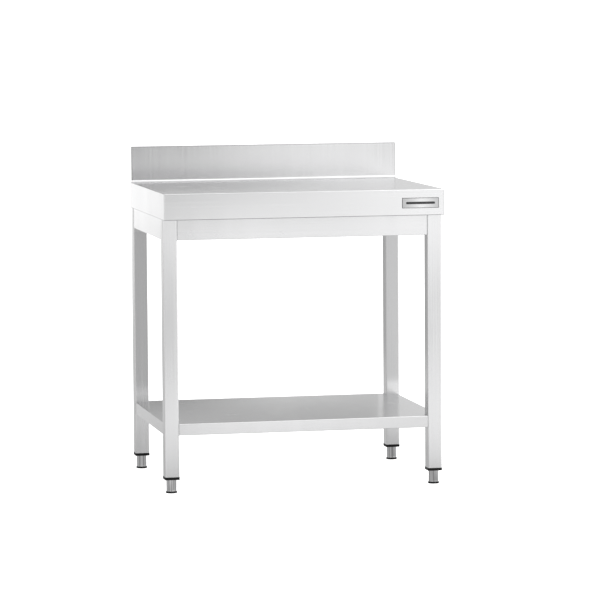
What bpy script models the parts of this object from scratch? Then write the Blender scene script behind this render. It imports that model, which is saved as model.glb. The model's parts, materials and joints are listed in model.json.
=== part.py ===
"""Stainless steel work table with a rear upstand, a lower shelf and four levelling feet.

Metres, +Z up. The origin lies on the floor, under the middle of the worktop.
+X runs to the right-hand end, +Y to the back, so the open front faces -Y.
"""
import math

import bmesh
import bpy
from mathutils import Matrix, Vector

# ---------------------------------------------------------------- driving dimensions
WIDTH = 0.800            # worktop, left to right
DEPTH = 0.600            # worktop, front to back
HEIGHT = 0.842           # floor to working surface, feet screwed half out
UPSTAND = 0.105          # upstand above the working surface
UPSTAND_T = 0.018        # thickness of the folded upstand
UPSTAND_INSET = 0.003    # ends of the upstand, in from the ends of the worktop
COVE_R = 0.009           # radius where the surface turns up into the upstand
TOP_SHEET = 0.0012       # worktop sheet
FASCIA = 0.0735          # height of the folded front and side faces
FASCIA_BEND = 0.0025     # outer bend radius along the top edges
FASCIA_CORNER = 0.0015   # ground corner radius
FRONT_HEM = 0.012        # return along the bottom of the front face
BOARD_T = 0.018          # sound-deadening board under the sheet
GAP = 0.0003             # clearance between pieces that touch

LEG = 0.040              # square tube
LEG_WALL = 0.0012
LEG_R = 0.0030           # outer corner radius of the tube
LEG_SIDE_INSET = 0.0015  # leg face behind the side face of the worktop
LEG_FRONT_INSET = 0.032
LEG_REAR_INSET = 0.010
LEG_BOTTOM = 0.0460

APRON_BOTTOM = 0.7105    # lower edge of the rails between the legs
APRON_DEPTH = 0.025
APRON_SHEET = 0.0012
APRON_SETBACK = 0.0010   # rail face behind the leg face

SHELF_TOP = 0.1960
SHELF_EDGE = 0.0330
SHELF_SHEET = 0.0010
SHELF_HEM = 0.011
SHELF_SETBACK = 0.0010

CAP_FLANGE = 0.0415      # plastic end cap, seen part
CAP_FLANGE_T = 0.0075
CAP_BODY = 0.0370        # part inside the tube
CAP_TOP = 0.1100
SOCKET_R = 0.0144        # bore that the foot slides in
SOCKET_TOP = 0.0980
THREAD_BORE_R = 0.0053

SLEEVE_R = 0.0140
SLEEVE_WALL = 0.0012
SLEEVE_TOP = 0.0680
SLEEVE_BOTTOM = 0.0048
SPINDLE_R = 0.0050       # M10
SPINDLE_TOP = 0.1300
SPINDLE_HEAD_AF = 0.0170
PAD_R = 0.0160
PAD_T = 0.0045

BOLT_R = 0.0030          # M6
BOLT_HOLE_R = 0.0033
BOLT_AF = 0.0100
BOLT_HEAD = 0.0040
BOLT_FLANGE_R = 0.0068
BOLT_LEVELS = (0.741, 0.793)   # heights of the two bolts in each rail end
SCREW_R = 0.0020
BADGE_X = 0.3307

# ---------------------------------------------------------------- derived
HW, HD = WIDTH / 2, DEPTH / 2
TOP_BOTTOM = HEIGHT - FASCIA
SHEET_UNDER = HEIGHT - TOP_SHEET
BOARD_TOP = SHEET_UNDER - GAP
BOARD_BOTTOM = BOARD_TOP - BOARD_T
LEG_TOP = BOARD_BOTTOM - GAP
UP_TOP = HEIGHT + UPSTAND
UP_FACE = HD - UPSTAND_T
LEG_X = HW - LEG_SIDE_INSET - LEG / 2          # leg centre, +-X
LEG_YF = -HD + LEG_FRONT_INSET + LEG / 2       # front leg centre
LEG_YR = HD - LEG_REAR_INSET - LEG / 2         # rear leg centre
IN_X = LEG_X - LEG / 2 - GAP                   # ends of what fits between the legs
IN_YF = LEG_YF + LEG / 2 + GAP
IN_YR = LEG_YR - LEG / 2 - GAP
FACE_YF = LEG_YF - LEG / 2                     # outer faces of the legs
FACE_YR = LEG_YR + LEG / 2
FACE_X = LEG_X + LEG / 2

CORNERS = {
    "front_left": (-1, LEG_YF),
    "front_right": (1, LEG_YF),
    "rear_left": (-1, LEG_YR),
    "rear_right": (1, LEG_YR),
}

# ---------------------------------------------------------------- clear the file
for old in list(bpy.data.objects):
    bpy.data.objects.remove(old, do_unlink=True)


# ---------------------------------------------------------------- materials
def material(name, colour, roughness, metallic):
    mat = bpy.data.materials.new(name)
    mat.use_nodes = True
    shader = mat.node_tree.nodes["Principled BSDF"]
    shader.inputs["Base Color"].default_value = (*colour, 1.0)
    shader.inputs["Roughness"].default_value = roughness
    shader.inputs["Metallic"].default_value = metallic
    mat.diffuse_color = (*colour, 1.0)
    return mat


# ---------------------------------------------------------------- mesh helpers
def finish_object(name, bm, mat, location=(0, 0, 0), smooth_angle=None):
    """Turn a bmesh into an object; each piece gets its own material."""
    bmesh.ops.recalc_face_normals(bm, faces=bm.faces[:])
    mesh = bpy.data.meshes.new(name)
    bm.to_mesh(mesh)
    bm.free()
    obj = bpy.data.objects.new(name, mesh)
    obj.location = location
    bpy.context.scene.collection.objects.link(obj)
    if mat:
        mesh.materials.append(material(name + "_material", *mat))
    if smooth_angle:
        mesh.shade_smooth()
        mesh.set_sharp_from_angle(angle=math.radians(smooth_angle))
    return obj


def box_bm(lo, hi):
    bm = bmesh.new()
    size = Vector(hi) - Vector(lo)
    mid = (Vector(hi) + Vector(lo)) / 2
    bmesh.ops.create_cube(bm, size=1.0, matrix=Matrix.Translation(mid) @ Matrix.Diagonal((*size, 1.0)))
    return bm


def prism_bm(outline, axis, start, end):
    """Extrude a closed outline of 2-D points along one world axis.

    The outline's two coordinates are the remaining axes in X, Y, Z order.
    """
    def point(p, t):
        if axis == "X":
            return (t, p[0], p[1])
        if axis == "Y":
            return (p[0], t, p[1])
        return (p[0], p[1], t)

    bm = bmesh.new()
    ring = [bm.verts.new(point(p, start)) for p in outline]
    face = bm.faces.new(ring)
    out = bmesh.ops.extrude_face_region(bm, geom=[face])
    moved = [v for v in out["geom"] if isinstance(v, bmesh.types.BMVert)]
    shift = Vector(point((0, 0), end)) - Vector(point((0, 0), start))
    bmesh.ops.translate(bm, vec=shift, verts=moved)
    return bm


def round_prism_bm(radius, start, end, sides=16, centre=(0.0, 0.0), axis="Z"):
    pts = [
        (centre[0] + radius * math.cos(2 * math.pi * (i + 0.5) / sides),
         centre[1] + radius * math.sin(2 * math.pi * (i + 0.5) / sides))
        for i in range(sides)
    ]
    return prism_bm(pts, axis, start, end)


def rounded_square(half_x, half_y, r, cx=0.0, cy=0.0, seg=3):
    pts = []
    for k, (sx, sy) in enumerate(((1, 1), (-1, 1), (-1, -1), (1, -1))):
        ox, oy = cx + sx * (half_x - r), cy + sy * (half_y - r)
        for i in range(seg + 1):
            a = math.pi / 2 * (k + i / seg)
            pts.append((ox + r * math.cos(a), oy + r * math.sin(a)))
    return pts


def arc(cx, cy, r, a0, a1, seg):
    return [
        (cx + r * math.cos(math.radians(a0 + (a1 - a0) * i / seg)),
         cy + r * math.sin(math.radians(a0 + (a1 - a0) * i / seg)))
        for i in range(seg + 1)
    ]


CUTTERS = []


def boolean(obj, bm, operation="DIFFERENCE"):
    """Cut or join one more solid with an exact Boolean, kept as a modifier."""
    tool = finish_object(f"cutter_{len(CUTTERS):03d}", bm, None)
    tool.hide_render = True
    tool.display_type = "WIRE"
    CUTTERS.append(tool)
    mod = obj.modifiers.new(f"{operation.lower()}_{len(CUTTERS):03d}", "BOOLEAN")
    mod.operation = operation
    mod.solver = "EXACT"
    mod.object = tool
    return obj


STEEL = ((0.62, 0.62, 0.63), 0.32, 1.0)
STEEL_DARK = ((0.55, 0.55, 0.56), 0.30, 1.0)
BLACK = ((0.015, 0.015, 0.015), 0.55, 0.0)
BOARD = ((0.55, 0.52, 0.47), 0.80, 0.0)
ZINC = ((0.60, 0.60, 0.58), 0.35, 1.0)
BADGE = ((0.45, 0.45, 0.46), 0.35, 1.0)


# ---------------------------------------------------------------- worktop: one folded sheet
def make_worktop():
    # outer pan, its three top edges bent and the upright corners ground round
    bm = box_bm((-HW, -HD, TOP_BOTTOM), (HW, HD, HEIGHT))
    top_edges, corner_edges = [], []
    for e in bm.edges:
        a, b = e.verts[0].co, e.verts[1].co
        mid = (a + b) / 2
        if abs(a.z - HEIGHT) < 1e-6 and abs(b.z - HEIGHT) < 1e-6 and mid.y < HD - 1e-6:
            top_edges.append(e)
        elif abs(a.z - b.z) > 1e-3 and mid.y < 0:
            corner_edges.append(e)
    bmesh.ops.bevel(bm, geom=corner_edges, offset=FASCIA_CORNER, segments=2, profile=0.5, affect="EDGES")
    top_edges = [
        e for e in bm.edges
        if all(abs(v.co.z - HEIGHT) < 1e-6 for v in e.verts)
        and not all(abs(v.co.y - HD) < 1e-6 for v in e.verts)
        and len(e.link_faces) == 2
        and any(abs(f.normal.z) < 0.5 for f in e.link_faces)
    ]
    bmesh.ops.bevel(bm, geom=top_edges, offset=FASCIA_BEND, segments=3, profile=0.5, affect="EDGES")
    worktop = finish_object("worktop", bm, STEEL)

    # upstand with its coved foot
    x_end = HW - UPSTAND_INSET
    cy, cz = UP_FACE - COVE_R, HEIGHT + COVE_R
    outline = [(HD - 0.0000, HEIGHT - 0.010), (HD, UP_TOP), (UP_FACE + 0.001, UP_TOP)]
    outline += [(UP_FACE, UP_TOP - 0.001)]
    outline += arc(cy, cz, COVE_R, 0, -90, 5)
    outline += [(cy, HEIGHT - 0.010)]
    boolean(worktop, prism_bm(outline, "X", -x_end, x_end), "UNION")

    # hollow underside of the pan, leaving the return along the front
    boolean(worktop, box_bm(
        (-HW + TOP_SHEET, -HD + TOP_SHEET, TOP_BOTTOM + TOP_SHEET),
        (HW - TOP_SHEET, HD - TOP_SHEET, SHEET_UNDER)))
    boolean(worktop, box_bm(
        (-HW + TOP_SHEET, -HD + TOP_SHEET + FRONT_HEM, TOP_BOTTOM - 0.01),
        (HW - TOP_SHEET, HD - TOP_SHEET, TOP_BOTTOM + 0.02)))

    # hollow of the upstand, open to the underside of the pan
    inner = [(HD - TOP_SHEET, HEIGHT - 0.008), (HD - TOP_SHEET, UP_TOP - TOP_SHEET),
             (UP_FACE + TOP_SHEET, UP_TOP - TOP_SHEET)]
    inner += arc(cy, cz, COVE_R + TOP_SHEET, 0, -90, 5)
    inner += [(cy, HEIGHT - 0.008)]
    boolean(worktop, prism_bm(inner, "X", -x_end + TOP_SHEET, x_end - TOP_SHEET))
    return worktop


# ---------------------------------------------------------------- legs
def make_leg(corner):
    sx, cy = CORNERS[corner]
    cx = sx * LEG_X
    sy = 1 if cy > 0 else -1
    leg = finish_object(
        "leg_" + corner,
        prism_bm(rounded_square(LEG / 2, LEG / 2, LEG_R), "Z", LEG_BOTTOM, LEG_TOP), STEEL,
        location=(cx, cy, 0), smooth_angle=35)
    bore = prism_bm(rounded_square(LEG / 2 - LEG_WALL, LEG / 2 - LEG_WALL, LEG_R - LEG_WALL), "Z",
                    LEG_BOTTOM - 0.01, LEG_TOP + 0.01)
    bmesh.ops.translate(bore, vec=(cx, cy, 0), verts=bore.verts[:])
    boolean(leg, bore)
    for along, a, b, z in bolt_places(corner):
        boolean(leg, hole_bm(along, corner, a, b, z))
    return leg


def bolt_places(corner):
    """(direction, the two in-plane coordinates) of the bolts that enter one leg."""
    sx, cy = CORNERS[corner]
    sy = 1 if cy > 0 else -1
    apron_y = cy + sy * (LEG / 2 - APRON_SETBACK - APRON_DEPTH / 2 - 0.001)
    apron_x = sx * (FACE_X - APRON_SETBACK - APRON_DEPTH / 2 - 0.001)
    out = []
    for z in BOLT_LEVELS:
        out.append(("X", apron_y, None, z))
        out.append(("Y", apron_x, None, z))
    shelf_z = SHELF_TOP - 0.0165
    out.append(("X", cy, None, shelf_z))
    out.append(("Y", sx * LEG_X, None, shelf_z))
    return out


def hole_bm(along, corner, a, b, z):
    sx, cy = CORNERS[corner]
    sy = 1 if cy > 0 else -1
    if along == "X":
        face = sx * (LEG_X - LEG / 2)
        lo, hi = sorted((face - sx * 0.004, face + sx * 0.004))
        return round_prism_bm(BOLT_HOLE_R, lo, hi, 12, (a, z), "X")
    face = cy - sy * LEG / 2
    lo, hi = sorted((face - sy * 0.004, face + sy * 0.004))
    return round_prism_bm(BOLT_HOLE_R, lo, hi, 12, (a, z), "Y")


# ---------------------------------------------------------------- rails between the legs
def make_aprons():
    """Each rail is a shallow folded tray, open towards the middle of the table."""
    t = APRON_SHEET
    zb, zt = APRON_BOTTOM, LEG_TOP
    for name, sy in (("apron_front", -1), ("apron_rear", 1)):
        face = (FACE_YF if sy < 0 else FACE_YR) - sy * APRON_SETBACK
        back = face - sy * APRON_DEPTH
        lo, hi = sorted((face, back))
        obj = finish_object(name, box_bm((-IN_X, lo, zb), (IN_X, hi, zt)), STEEL)
        lo, hi = sorted((face - sy * t, back - sy * 0.01))
        boolean(obj, box_bm((-IN_X + t, lo, zb + t), (IN_X - t, hi, zt - t)))
        for corner in ("front_left", "front_right") if sy < 0 else ("rear_left", "rear_right"):
            for along, a, b, z in bolt_places(corner):
                if along == "X" and z > 0.5:
                    boolean(obj, hole_bm(along, corner, a, b, z))
        boolean(obj, round_prism_bm(0.0024, zt - 0.006, zt + 0.006, 10, (0.0, face - sy * 0.016), "Z"))
    for name, sx in (("apron_left", -1), ("apron_right", 1)):
        face = sx * (FACE_X - APRON_SETBACK)
        back = face - sx * APRON_DEPTH
        lo, hi = sorted((face, back))
        obj = finish_object(name, box_bm((lo, IN_YF, zb), (hi, IN_YR, zt)), STEEL)
        lo, hi = sorted((face - sx * t, back - sx * 0.01))
        boolean(obj, box_bm((lo, IN_YF + t, zb + t), (hi, IN_YR - t, zt - t)))
        side = "left" if sx < 0 else "right"
        for corner in ("front_" + side, "rear_" + side):
            for along, a, b, z in bolt_places(corner):
                if along == "Y" and z > 0.5:
                    boolean(obj, hole_bm(along, corner, a, b, z))
        boolean(obj, round_prism_bm(0.0024, zt - 0.006, zt + 0.006, 10,
                                    (face - sx * 0.016, (IN_YF + IN_YR) / 2), "Z"))


# ---------------------------------------------------------------- board under the worktop sheet
def screw_places():
    mid = (IN_YF + IN_YR) / 2
    return {
        "front": (0.0, FACE_YF + APRON_SETBACK + 0.016),
        "rear": (0.0, FACE_YR - APRON_SETBACK - 0.016),
        "left": (-(FACE_X - APRON_SETBACK - 0.016), mid),
        "right": (FACE_X - APRON_SETBACK - 0.016, mid),
    }


def make_board():
    x = HW - TOP_SHEET - GAP
    obj = finish_object("underlay_board", box_bm(
        (-x, -HD + TOP_SHEET + GAP, BOARD_BOTTOM), (x, UP_FACE - COVE_R - GAP, BOARD_TOP)), BOARD)
    for px, py in screw_places().values():
        boolean(obj, round_prism_bm(SCREW_R + GAP, BOARD_BOTTOM - 0.01, BOARD_BOTTOM + 0.0145, 10, (px, py)))
    return obj


def make_top_screws():
    for side, (px, py) in screw_places().items():
        # washer head under the rail's top return, shank up into the board
        under = LEG_TOP - APRON_SHEET - GAP
        bm = bmesh.new()
        profile = [(0.0, BOARD_BOTTOM + 0.014), (SCREW_R * 0.5, BOARD_BOTTOM + 0.0135),
                   (SCREW_R, BOARD_BOTTOM + 0.011), (SCREW_R, under), (0.0048, under),
                   (0.0046, under - 0.0010), (0.0030, under - 0.0024), (0.0, under - 0.0027)]
        finish_object("top_screw_" + side, turned_bm(profile, 10), ZINC, location=(px, py, 0), smooth_angle=35)


def turned_bm(profile, sides):
    """Spin an (r, z) profile, given from its top to its bottom, into a closed solid."""
    bm = bmesh.new()
    rings = []
    for r, z in profile:
        if r < 1e-7:
            rings.append([bm.verts.new((0, 0, z))])
        else:
            rings.append([
                bm.verts.new((r * math.cos(2 * math.pi * i / sides), r * math.sin(2 * math.pi * i / sides), z))
                for i in range(sides)])
    for a, b in zip(rings, rings[1:]):
        for i in range(sides):
            j = (i + 1) % sides
            if len(a) == 1:
                bm.faces.new((a[0], b[i], b[j]))
            elif len(b) == 1:
                bm.faces.new((a[i], b[0], a[j]))
            else:
                bm.faces.new((a[i], b[i], b[j], a[j]))
    return bm


# ---------------------------------------------------------------- hexagon bolts
def bolt_bm(grip, reach):
    """Flanged hexagon bolt along +Z: its seat at z = 0, the head below, the shank above."""
    bm = bmesh.new()
    sides = 12

    def ring(r, z, n=sides, hexagon=False):
        out = []
        for i in range(n):
            a = 2 * math.pi * (i + 0.5) / n
            rr = r
            if hexagon:
                step = math.pi / 3
                rr = r / math.cos((a % step) - step / 2)
            out.append(bm.verts.new((rr * math.cos(a), rr * math.sin(a), z)))
        return out

    rings = [
        ring(BOLT_R, grip + reach), ring(BOLT_R, 0.0),
        ring(BOLT_FLANGE_R, 0.0), ring(BOLT_FLANGE_R, -0.0010),
        ring(BOLT_AF / 2, -0.0012, hexagon=True), ring(BOLT_AF / 2, -BOLT_HEAD, hexagon=True),
    ]
    bm.faces.new(rings[0])
    bm.faces.new(list(reversed(rings[-1])))
    for a, b in zip(rings, rings[1:]):
        for i in range(sides):
            j = (i + 1) % sides
            bm.faces.new((a[i], b[i], b[j], a[j]))
    return bm


def make_bolts():
    turn_x = {1: Matrix.Rotation(math.radians(90), 4, "Y"), -1: Matrix.Rotation(math.radians(-90), 4, "Y")}
    turn_y = {1: Matrix.Rotation(math.radians(-90), 4, "X"), -1: Matrix.Rotation(math.radians(90), 4, "X")}
    short = {"front_left": "fl", "front_right": "fr", "rear_left": "rl", "rear_right": "rr"}
    for corner, (sx, cy) in CORNERS.items():
        sy = 1 if cy > 0 else -1
        counters = {}
        for along, a, b, z in bolt_places(corner):
            shelf = z < 0.5
            sheet = SHELF_SHEET if shelf else APRON_SHEET
            if along == "X":
                seat = sx * (IN_X - sheet - GAP)
                loc, rot = (seat, a, z), turn_x[sx]
            else:
                inner = (IN_YF if sy < 0 else IN_YR)
                seat = inner - sy * (sheet + GAP)
                loc, rot = (a, seat, z), turn_y[sy]
            kind = "shelf_bolt" if shelf else "frame_bolt"
            counters[(kind, along)] = counters.get((kind, along), 0) + 1
            which = "end" if along == "X" else "side"
            number = "" if shelf else ("_lower" if z < sum(BOLT_LEVELS) / 2 else "_upper")
            bm = bolt_bm(sheet + GAP, 0.010)
            bmesh.ops.transform(bm, matrix=rot, verts=bm.verts[:])
            finish_object(f"{kind}_{short[corner]}_{which}{number}", bm, ZINC, location=loc, smooth_angle=35)


# ---------------------------------------------------------------- shelf
def notched_outline(inset):
    """Plan of the shelf with its corners cut out round the legs, drawn in by inset."""
    x = FACE_X - SHELF_SETBACK - inset
    yf = FACE_YF + SHELF_SETBACK + inset
    yr = FACE_YR - SHELF_SETBACK - inset
    nx, nyf, nyr = IN_X - inset, IN_YF + inset, IN_YR - inset
    return [(-nx, yf), (nx, yf), (nx, nyf), (x, nyf), (x, nyr), (nx, nyr), (nx, yr),
            (-nx, yr), (-nx, nyr), (-x, nyr), (-x, nyf), (-nx, nyf)]


def make_shelf():
    bottom = SHELF_TOP - SHELF_EDGE
    bm = prism_bm(notched_outline(0.0), "Z", bottom, SHELF_TOP)
    # bend radius along the four outer top edges
    edges = []
    for e in bm.edges:
        a, b = e.verts[0].co, e.verts[1].co
        if abs(a.z - SHELF_TOP) > 1e-6 or abs(b.z - SHELF_TOP) > 1e-6:
            continue
        outer_x = abs(abs(a.x) - (FACE_X - SHELF_SETBACK)) < 1e-6 and abs(a.x - b.x) < 1e-6
        outer_y = min(abs(a.y - FACE_YF - SHELF_SETBACK), abs(a.y - FACE_YR + SHELF_SETBACK)) < 1e-6 \
            and abs(a.y - b.y) < 1e-6
        if outer_x or outer_y:
            edges.append(e)
    bmesh.ops.bevel(bm, geom=edges, offset=0.0018, segments=2, profile=0.5, affect="EDGES")
    shelf = finish_object("shelf", bm, STEEL)
    boolean(shelf, prism_bm(notched_outline(SHELF_SHEET), "Z", bottom + SHELF_SHEET, SHELF_TOP - SHELF_SHEET))
    boolean(shelf, prism_bm(notched_outline(SHELF_HEM), "Z", bottom - 0.01, bottom + 0.006))
    for corner in CORNERS:
        for along, a, b, z in bolt_places(corner):
            if z < 0.5:
                boolean(shelf, hole_bm(along, corner, a, b, z))
    return shelf


def make_shelf_stiffener():
    """Hat-section channel spot-welded under the shelf."""
    top = SHELF_TOP - SHELF_SHEET - GAP
    t, drop = 0.0010, 0.020
    y0 = (LEG_YF + LEG_YR) / 2
    half, foot = 0.022, 0.016
    outline = [
        (-half - foot, top), (-half - foot, top - t), (-half - t * 0.2, top - t), (-half + t * 0.2, top - drop),
        (half - t * 0.2, top - drop), (half + t * 0.2, top - t), (half + foot, top - t), (half + foot, top),
        (half - t * 0.8, top), (half - t * 1.2, top - drop + t), (-half + t * 1.2, top - drop + t),
        (-half + t * 0.8, top)]
    outline = [(y0 + a, b) for a, b in outline]
    x = FACE_X - SHELF_SETBACK - SHELF_HEM - 0.006
    return finish_object("shelf_stiffener", prism_bm(outline, "X", -x, x), STEEL_DARK)


# ---------------------------------------------------------------- feet
def make_feet():
    for corner, (sx, cy) in CORNERS.items():
        cx = sx * LEG_X
        at = Matrix.Translation((cx, cy, 0))

        def moved(bm):
            bmesh.ops.transform(bm, matrix=at, verts=bm.verts[:])
            return bm

        # plastic end cap pressed into the tube, threaded for the spindle
        top_of_flange = LEG_BOTTOM - GAP
        cap = finish_object(
            "leg_cap_" + corner,
            prism_bm(rounded_square(CAP_FLANGE / 2, CAP_FLANGE / 2, 0.0030), "Z",
                     top_of_flange - CAP_FLANGE_T, top_of_flange),
            BLACK, location=(cx, cy, 0), smooth_angle=35)
        boolean(cap, moved(prism_bm(rounded_square(CAP_BODY / 2, CAP_BODY / 2, 0.0015), "Z",
                                    top_of_flange - 0.004, CAP_TOP)), "UNION")
        boolean(cap, moved(round_prism_bm(SOCKET_R, top_of_flange - CAP_FLANGE_T - 0.01, SOCKET_TOP, 24)))
        boolean(cap, moved(round_prism_bm(THREAD_BORE_R, SOCKET_TOP - 0.01, CAP_TOP + 0.01, 16)))

        # stainless sleeve, closed at the top round the spindle
        s_in = SLEEVE_R - SLEEVE_WALL
        sleeve = finish_object(
            "foot_sleeve_" + corner,
            turned_bm([(0, SLEEVE_TOP), (SLEEVE_R - 0.0008, SLEEVE_TOP), (SLEEVE_R, SLEEVE_TOP - 0.0008),
                       (SLEEVE_R, SLEEVE_BOTTOM), (0, SLEEVE_BOTTOM)], 28),
            STEEL, location=(cx, cy, 0), smooth_angle=35)
        boolean(sleeve, moved(turned_bm([(0, SLEEVE_TOP - 0.003), (s_in, SLEEVE_TOP - 0.003),
                                         (s_in, SLEEVE_BOTTOM - 0.01), (0, SLEEVE_BOTTOM - 0.01)], 28)))
        boolean(sleeve, moved(round_prism_bm(SPINDLE_R + GAP, SLEEVE_TOP - 0.01, SLEEVE_TOP + 0.01, 16)))

        # spindle: hexagon head inside the sleeve, thread up into the cap
        head_top = SLEEVE_TOP - 0.003 - GAP
        hexagon = [(SPINDLE_HEAD_AF / math.sqrt(3) * math.cos(math.pi / 3 * i),
                    SPINDLE_HEAD_AF / math.sqrt(3) * math.sin(math.pi / 3 * i)) for i in range(6)]
        spindle = finish_object(
            "foot_spindle_" + corner, prism_bm(hexagon, "Z", head_top - 0.0064, head_top), ZINC,
            location=(cx, cy, 0), smooth_angle=35)
        boolean(spindle, moved(turned_bm([(0, SPINDLE_TOP), (SPINDLE_R - 0.001, SPINDLE_TOP),
                                          (SPINDLE_R, SPINDLE_TOP - 0.001), (SPINDLE_R, head_top - 0.003),
                                          (0, head_top - 0.003)], 16)), "UNION")

        # plastic glide: a disc on the floor with a plug up inside the sleeve
        plug_r = s_in - GAP
        finish_object(
            "foot_pad_" + corner,
            turned_bm([(0, 0.0150), (plug_r - 0.0012, 0.0150), (plug_r, 0.0138), (plug_r, PAD_T),
                       (PAD_R - 0.0006, PAD_T), (PAD_R, PAD_T - 0.0006), (PAD_R, 0.0010),
                       (PAD_R - 0.0010, 0.0), (0, 0.0)], 28),
            BLACK, location=(cx, cy, 0), smooth_angle=35)


# ---------------------------------------------------------------- badge
def make_badge():
    """Blank type plate on the front face: a raised rim round a flat field."""
    w, h, t, rim = 0.106, 0.029, 0.0010, 0.0016
    cx, cz = BADGE_X, HEIGHT - 0.0383
    y = -HD - GAP
    bm = prism_bm(rounded_square(w / 2, h / 2, 0.0015, cx, cz, 2), "Y", y - t, y)
    badge = finish_object("badge_plate", bm, BADGE)
    boolean(badge, prism_bm(rounded_square(w / 2 - rim, h / 2 - rim, 0.0008, cx, cz, 2), "Y",
                            y - t - 0.01, y - t + 0.0003))
    return badge


make_worktop()
make_board()
make_aprons()
for corner_name in CORNERS:
    make_leg(corner_name)
make_shelf()
make_shelf_stiffener()
make_feet()
make_bolts()
make_top_screws()
make_badge()
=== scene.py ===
"""Looks of the stainless steel work table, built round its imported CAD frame."""
import json
import math

import bmesh
import bpy
import numpy as np
from mathutils import Matrix, Vector

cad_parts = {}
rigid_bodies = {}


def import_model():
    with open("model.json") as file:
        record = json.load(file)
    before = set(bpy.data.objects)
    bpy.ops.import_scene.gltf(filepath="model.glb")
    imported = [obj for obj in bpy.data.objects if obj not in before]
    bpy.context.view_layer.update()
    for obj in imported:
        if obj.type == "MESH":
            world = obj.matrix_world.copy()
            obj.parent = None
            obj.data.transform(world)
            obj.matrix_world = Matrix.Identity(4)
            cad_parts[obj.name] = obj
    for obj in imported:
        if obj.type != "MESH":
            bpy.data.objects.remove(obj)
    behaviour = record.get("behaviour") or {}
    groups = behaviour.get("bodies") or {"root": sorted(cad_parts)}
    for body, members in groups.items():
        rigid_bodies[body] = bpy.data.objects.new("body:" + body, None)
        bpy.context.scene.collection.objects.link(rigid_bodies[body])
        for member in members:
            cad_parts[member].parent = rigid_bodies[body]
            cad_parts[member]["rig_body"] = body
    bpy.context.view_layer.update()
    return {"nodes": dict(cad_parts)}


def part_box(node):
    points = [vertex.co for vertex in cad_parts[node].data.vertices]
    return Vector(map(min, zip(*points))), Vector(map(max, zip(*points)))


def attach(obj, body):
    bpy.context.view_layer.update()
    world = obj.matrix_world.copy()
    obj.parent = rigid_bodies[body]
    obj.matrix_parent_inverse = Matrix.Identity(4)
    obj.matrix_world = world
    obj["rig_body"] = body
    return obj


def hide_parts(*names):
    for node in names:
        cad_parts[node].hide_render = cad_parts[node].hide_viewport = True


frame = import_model()
NODES = frame["nodes"]

# ---------------------------------------------------------------- places, all from the frame
TOP_LO, TOP_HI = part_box("worktop")
HW, HD = TOP_HI.x, TOP_HI.y
UP_TOP = TOP_HI.z
TOP_BOTTOM = TOP_LO.z
HEIGHT = TOP_BOTTOM + 0.0735
UPSTAND_T, UPSTAND_INSET, COVE_R, SHEET = 0.018, 0.003, 0.009, 0.0012
UP_FACE = HD - UPSTAND_T
FRONT_HEM = 0.012
LEG, LEG_WALL, LEG_R = 0.040, 0.0012, 0.0030
CORNERS = ("front_left", "front_right", "rear_left", "rear_right")
BODY = {n: o["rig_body"] for n, o in NODES.items()}


def centre(node):
    lo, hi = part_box(node)
    return (lo + hi) / 2


# ---------------------------------------------------------------- node helpers
def new_material(name):
    mat = bpy.data.materials.new(name)
    mat.use_nodes = True
    nt = mat.node_tree
    nt.nodes.clear()
    out = nt.nodes.new("ShaderNodeOutputMaterial")
    bsdf = nt.nodes.new("ShaderNodeBsdfPrincipled")
    nt.links.new(bsdf.outputs["BSDF"], out.inputs["Surface"])
    return mat, nt, bsdf


def mapped(nt, scale):
    """Object coordinates, in metres, stretched by scale."""
    tc = nt.nodes.new("ShaderNodeTexCoord")
    mp = nt.nodes.new("ShaderNodeMapping")
    mp.inputs["Scale"].default_value = scale
    nt.links.new(tc.outputs["Object"], mp.inputs["Vector"])
    return mp.outputs["Vector"]


def noise(nt, vector, detail=2.0, rough=0.5, scale=1.0, distortion=0.0):
    n = nt.nodes.new("ShaderNodeTexNoise")
    n.inputs["Scale"].default_value = scale
    n.inputs["Detail"].default_value = detail
    n.inputs["Roughness"].default_value = rough
    n.inputs["Distortion"].default_value = distortion
    nt.links.new(vector, n.inputs["Vector"])
    return n.outputs["Fac"]


def ranged(nt, value, lo, hi, a=0.0, b=1.0):
    m = nt.nodes.new("ShaderNodeMapRange")
    m.inputs["From Min"].default_value = a
    m.inputs["From Max"].default_value = b
    m.inputs["To Min"].default_value = lo
    m.inputs["To Max"].default_value = hi
    nt.links.new(value, m.inputs["Value"])
    return m.outputs["Result"]


def maths(nt, op, a, b=None, c=None):
    m = nt.nodes.new("ShaderNodeMath")
    m.operation = op
    for i, v in enumerate((a, b, c)):
        if v is None:
            continue
        if isinstance(v, (int, float)):
            m.inputs[i].default_value = v
        else:
            nt.links.new(v, m.inputs[i])
    return m.outputs[0]


def mix_colour(nt, fac, a, b):
    m = nt.nodes.new("ShaderNodeMix")
    m.data_type = "RGBA"
    nt.links.new(fac, m.inputs[0])
    for i, v in ((6, a), (7, b)):
        if isinstance(v, tuple):
            m.inputs[i].default_value = (*v, 1.0)
        else:
            nt.links.new(v, m.inputs[i])
    return m.outputs[2]


def edge_mask(nt, amount=0.5, radius=0.0012):
    """White where the surface turns sharply, from the angle between the true and the rounded normal."""
    bev = nt.nodes.new("ShaderNodeBevel")
    bev.samples = 4
    bev.inputs["Radius"].default_value = radius
    geo = nt.nodes.new("ShaderNodeNewGeometry")
    dot = nt.nodes.new("ShaderNodeVectorMath")
    dot.operation = "DOT_PRODUCT"
    nt.links.new(bev.outputs["Normal"], dot.inputs[0])
    nt.links.new(geo.outputs["Normal"], dot.inputs[1])
    return ranged(nt, dot.outputs["Value"], amount, 0.0, 0.82, 0.995)


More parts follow.
